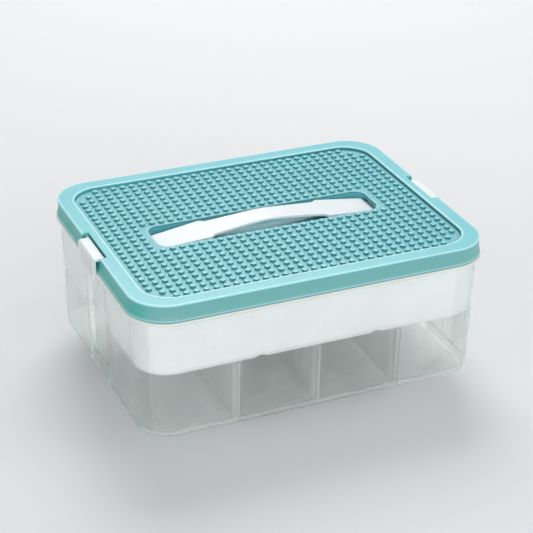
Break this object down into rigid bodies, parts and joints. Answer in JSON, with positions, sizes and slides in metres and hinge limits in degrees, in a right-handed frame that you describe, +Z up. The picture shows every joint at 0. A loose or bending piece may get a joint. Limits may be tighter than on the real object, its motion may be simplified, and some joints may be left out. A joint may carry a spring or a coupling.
{
  "type": "toy storage case",
  "caption": "Clear toy storage case with rounded corners, a lift-out tray, dividers, a studded building lid, a carry strap and end latches.",
  "frame": {"origin": "centre of the case's base, on the surface that the case stands on", "axes": "+X along the long side towards the right latch, +Y to the back long side, +Z up"},
  "size_m": [0.3028, 0.2318, 0.1197],
  "materials": {
    "clear_plastic": "clear, moulded, polished",
    "tray_plastic": "opaque cool white, satin",
    "lid_plastic": "teal, satin",
    "trim_plastic": "near white, satin",
    "frosted_plastic": "translucent, frosted"
  },
  "bodies": {
    "box": {"box_shell": "clear_plastic"},
    "tray": {"inner_tray": "tray_plastic"},
    "lid": {"lid": "lid_plastic", "building_plate": "lid_plastic"},
    "handle": {"carry_handle": "trim_plastic"},
    "latch_left": {"latch_left": "trim_plastic"},
    "latch_right": {"latch_right": "trim_plastic"},
    "divider_1": {"divider_1": "frosted_plastic"},
    "divider_2": {"divider_2": "frosted_plastic"},
    "divider_3": {"divider_3": "frosted_plastic"}
  },
  "joints": [
    {"name": "tray_lift", "type": "slide", "parent": "box", "child": "tray", "axis": [0, 0, 1], "range_m": [0, 0.12]},
    {"name": "lid_lift", "type": "slide", "parent": "tray", "child": "lid", "axis": [0, 0, 1], "range_m": [0, 0.1]},
    {"name": "handle_lift", "type": "slide", "parent": "lid", "child": "handle", "axis": [0, 0, 1], "range_m": [0, 0.003]},
    {"name": "latch_left_turn", "type": "hinge", "parent": "lid", "child": "latch_left", "pos_m": [-0.1424, 0, 0.1146], "axis": [0, 1, 0], "range_deg": [0, 95]},
    {"name": "latch_right_turn", "type": "hinge", "parent": "lid", "child": "latch_right", "pos_m": [0.1424, 0, 0.1146], "axis": [0, -1, 0], "range_deg": [0, 95]},
    {"name": "divider_1_lift", "type": "slide", "parent": "box", "child": "divider_1", "axis": [0, 0, 1], "range_m": [0, 0.055]},
    {"name": "divider_2_lift", "type": "slide", "parent": "box", "child": "divider_2", "axis": [0, 0, 1], "range_m": [0, 0.055]},
    {"name": "divider_3_lift", "type": "slide", "parent": "box", "child": "divider_3", "axis": [0, 0, 1], "range_m": [0, 0.055]}
  ],
  "couplings": [
    {"joint": "divider_1_lift", "follows": "tray_lift", "ratio": 0.45},
    {"joint": "divider_2_lift", "follows": "tray_lift", "ratio": 0.45},
    {"joint": "divider_3_lift", "follows": "tray_lift", "ratio": 0.45}
  ]
}
